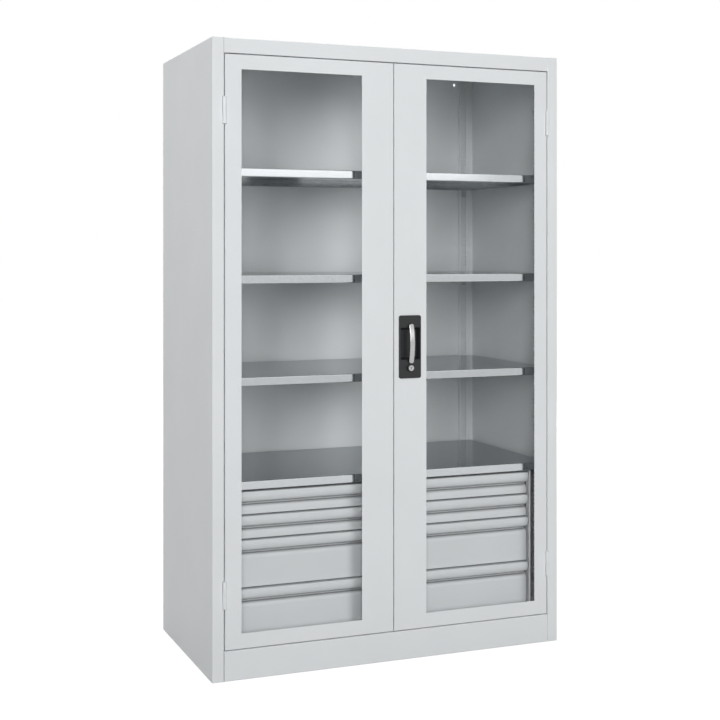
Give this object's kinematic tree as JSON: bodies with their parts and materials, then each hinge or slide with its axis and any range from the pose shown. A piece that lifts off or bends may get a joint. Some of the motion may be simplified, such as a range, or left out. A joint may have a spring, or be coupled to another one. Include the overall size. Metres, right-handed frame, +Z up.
{
  "type": "heavy-duty storage cabinet",
  "caption": "Upright steel cabinet with flush windowed double doors, galvanised shelves, a block of drawers behind the doors and a swing handle that works locking rods.",
  "frame": {"origin": "bottom centre of the cabinet's box, the handle lever included, on the floor", "axes": "+X to the right seen from the front, +Y to the back, +Z up"},
  "size_m": [1.2, 0.625, 1.95],
  "materials": {
    "paint": "fine powder coat",
    "drawer_paint": "fine powder coat",
    "galvanised": "galvanised sheet",
    "zinc": "bright zinc",
    "black_plastic": "fine grain",
    "satin_metal": "satin",
    "acrylic": "clear",
    "rubber": "matt"
  },
  "bodies": {
    "carcass": {"left_side_panel": "paint", "right_side_panel": "paint", "back_panel": "paint", "top_panel": "paint", "floor_panel": "paint", "plinth": "paint", "front_shelf_rails": "paint", "rear_shelf_rails": "paint", "shelf_1": "galvanised", "shelf_2": "galvanised", "shelf_3": "galvanised", "shelf_4": "galvanised", "shelf_clips": "zinc", "left_drawer_carrier": "paint", "right_drawer_carrier": "paint", "slide_outer_rails": "zinc", "hinge_frame_leaves": "paint", "hinge_pins": "zinc", "rod_keepers": "zinc", "door_buffers": "rubber", "magnet_catches": "black_plastic"},
    "left_door": {"left_door_panel": "paint", "left_window_pane": "acrylic", "left_window_seal": "rubber", "left_pane_retainers": "paint", "left_retainer_nuts": "zinc", "left_hinge_leaves": "paint"},
    "right_door": {"right_door_panel": "paint", "right_window_pane": "acrylic", "right_window_seal": "rubber", "right_pane_retainers": "paint", "right_retainer_nuts": "zinc", "right_hinge_leaves": "paint", "handle_housing": "black_plastic", "lock_case": "zinc", "rod_guides": "black_plastic"},
    "handle": {"handle_spindle": "zinc", "lock_cam": "zinc"},
    "lever": {"handle_lever": "satin_metal", "lever_pin": "zinc"},
    "lock_plug": {"lock_cylinder": "satin_metal"},
    "upper_rod": {"upper_lock_rod": "zinc"},
    "lower_rod": {"lower_lock_rod": "zinc"},
    "drawer_1": {"drawer_1_front": "drawer_paint", "drawer_1_tray": "drawer_paint", "drawer_1_runners": "zinc"},
    "slide_1": {"drawer_1_middle_rails": "zinc"},
    "drawer_2": {"drawer_2_front": "drawer_paint", "drawer_2_tray": "drawer_paint", "drawer_2_runners": "zinc"},
    "slide_2": {"drawer_2_middle_rails": "zinc"},
    "drawer_3": {"drawer_3_front": "drawer_paint", "drawer_3_tray": "drawer_paint", "drawer_3_runners": "zinc"},
    "slide_3": {"drawer_3_middle_rails": "zinc"},
    "drawer_4": {"drawer_4_front": "drawer_paint", "drawer_4_tray": "drawer_paint", "drawer_4_runners": "zinc"},
    "slide_4": {"drawer_4_middle_rails": "zinc"}
  },
  "joints": [
    {"name": "left_door_swing", "type": "hinge", "parent": "carcass", "child": "left_door", "pos_m": [-0.5615, -0.289, 0.996], "axis": [0, 0, -1], "range_deg": [0, 180]},
    {"name": "right_door_swing", "type": "hinge", "parent": "carcass", "child": "right_door", "pos_m": [0.5615, -0.289, 0.996], "axis": [0, 0, 1], "range_deg": [0, 180]},
    {"name": "handle_turn", "type": "hinge", "parent": "right_door", "child": "handle", "pos_m": [0.0555, -0.2875, 1.0658], "axis": [0, -1, 0], "range_deg": [0, 90]},
    {"name": "lever_tilt", "type": "hinge", "parent": "handle", "child": "lever", "pos_m": [0.0555, -0.2991, 1.0658], "axis": [-1, 0, 0], "range_deg": [0, 20]},
    {"name": "lock_turn", "type": "hinge", "parent": "right_door", "child": "lock_plug", "pos_m": [0.0555, -0.2875, 0.9307], "axis": [0, -1, 0], "range_deg": [0, 90]},
    {"name": "upper_rod_slide", "type": "slide", "parent": "right_door", "child": "upper_rod", "axis": [0, 0, -1], "range_m": [0, 0.01698]},
    {"name": "lower_rod_slide", "type": "slide", "parent": "right_door", "child": "lower_rod", "axis": [0, 0, 1], "range_m": [0, 0.01698]},
    {"name": "drawer_1_pull", "type": "slide", "parent": "carcass", "child": "drawer_1", "axis": [0, -1, 0], "range_m": [0, 0.018]},
    {"name": "slide_1_follow", "type": "slide", "parent": "carcass", "child": "slide_1", "axis": [0, -1, 0], "range_m": [0, 0.009]},
    {"name": "drawer_2_pull", "type": "slide", "parent": "carcass", "child": "drawer_2", "axis": [0, -1, 0], "range_m": [0, 0.018]},
    {"name": "slide_2_follow", "type": "slide", "parent": "carcass", "child": "slide_2", "axis": [0, -1, 0], "range_m": [0, 0.009]},
    {"name": "drawer_3_pull", "type": "slide", "parent": "carcass", "child": "drawer_3", "axis": [0, -1, 0], "range_m": [0, 0.018]},
    {"name": "slide_3_follow", "type": "slide", "parent": "carcass", "child": "slide_3", "axis": [0, -1, 0], "range_m": [0, 0.009]},
    {"name": "drawer_4_pull", "type": "slide", "parent": "carcass", "child": "drawer_4", "axis": [0, -1, 0], "range_m": [0, 0.018]},
    {"name": "slide_4_follow", "type": "slide", "parent": "carcass", "child": "slide_4", "axis": [0, -1, 0], "range_m": [0, 0.009]}
  ],
  "couplings": [
    {"joint": "upper_rod_slide", "follows": "handle_turn", "m_per_rad": 0.010804},
    {"joint": "lower_rod_slide", "follows": "handle_turn", "m_per_rad": 0.010804},
    {"joint": "slide_1_follow", "follows": "drawer_1_pull", "ratio": 0.5},
    {"joint": "slide_2_follow", "follows": "drawer_2_pull", "ratio": 0.5},
    {"joint": "slide_3_follow", "follows": "drawer_3_pull", "ratio": 0.5},
    {"joint": "slide_4_follow", "follows": "drawer_4_pull", "ratio": 0.5}
  ]
}
